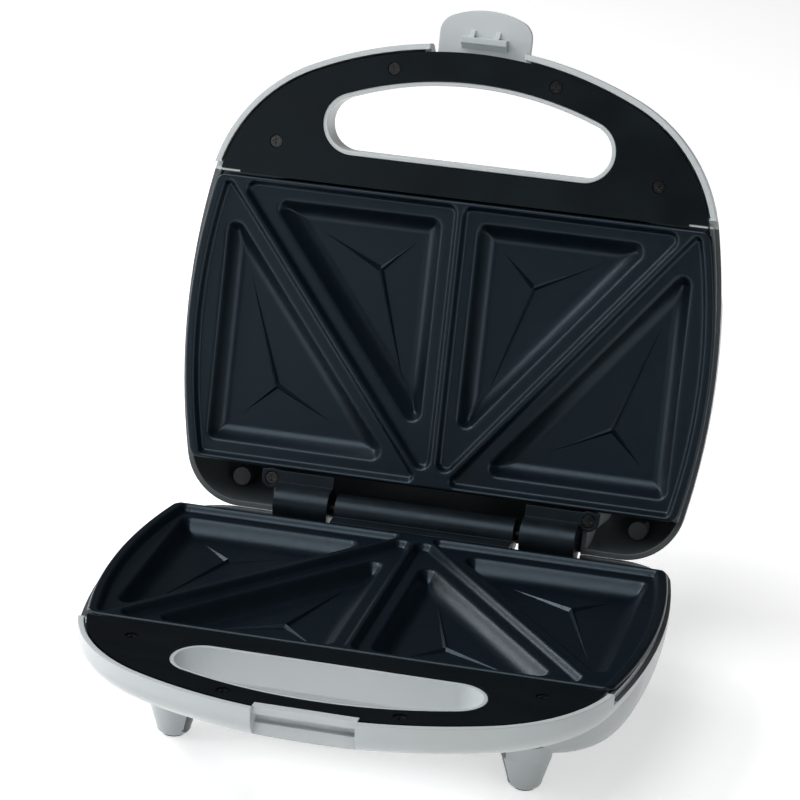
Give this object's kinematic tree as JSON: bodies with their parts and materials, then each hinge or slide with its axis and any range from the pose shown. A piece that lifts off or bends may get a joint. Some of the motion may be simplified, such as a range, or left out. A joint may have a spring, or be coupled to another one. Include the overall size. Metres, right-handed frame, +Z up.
{
  "type": "sandwich toaster",
  "caption": "Countertop sandwich toaster, shown open: hinged lid, ridged triangular plates, black handle covers, finger slots and a swing latch.",
  "frame": {"origin": "on the surface it stands on, at the centre of its four feet", "axes": "+X to the right, +Y from the handle to the hinge, +Z up"},
  "size_m": [0.2336, 0.2749, 0.265],
  "materials": {
    "casing": "smooth pale grey-white moulded plastic",
    "handle_cover": "black satin plastic",
    "plate": "dark blue-grey non-stick coating on cast aluminium",
    "heater": "sheathed tubular element",
    "sheet": "pressed aluminium sheet",
    "hinge": "black heat-resistant plastic",
    "steel": "zinc-plated steel",
    "rubber": "soft grey-black rubber",
    "gland": "black plastic bushing",
    "insulator": "cream insulating plastic",
    "fuse": "plain metal can",
    "thermostat": "brass cup and ceramic bar",
    "red_lens": "clear red plastic",
    "green_lens": "clear green plastic",
    "wire": "silicone sleeved copper lead"
  },
  "bodies": {
    "base": {"base_shell": "casing", "base_handle_cover": "handle_cover", "base_plate": "plate", "base_heater": "heater", "base_reflector": "sheet", "base_hinge_bracket": "hinge", "hinge_pin": "steel", "base_cover_screws": "steel", "base_hinge_screws": "steel", "base_plate_screws": "steel", "foot_pads": "rubber", "terminal_block": "insulator", "thermal_fuse": "fuse", "cord_gland": "gland", "base_wiring": "wire"},
    "lid": {"lid_shell": "casing", "lid_handle_cover": "handle_cover", "lid_plate": "plate", "lid_heater": "heater", "lid_reflector": "sheet", "lid_hinge_left": "hinge", "lid_hinge_right": "hinge", "lid_cover_screws": "steel", "lid_hinge_screws": "steel", "lid_plate_screws": "steel", "thermostat": "thermostat", "power_lens": "red_lens", "ready_lens": "green_lens", "lamp_holder": "insulator", "lid_wiring": "wire", "latch_pin": "steel"},
    "latch": {"latch": "casing"}
  },
  "joints": [
    {"name": "lid_hinge", "type": "hinge", "parent": "base", "child": "lid", "pos_m": [0, 0.0683, 0.0545], "axis": [1, 0, 0], "range_deg": [0, 104]},
    {"name": "latch_pivot", "type": "hinge", "parent": "lid", "child": "latch", "pos_m": [0, 0.12142, 0.2415], "axis": [1, 0, 0], "range_deg": [0, 90]}
  ]
}
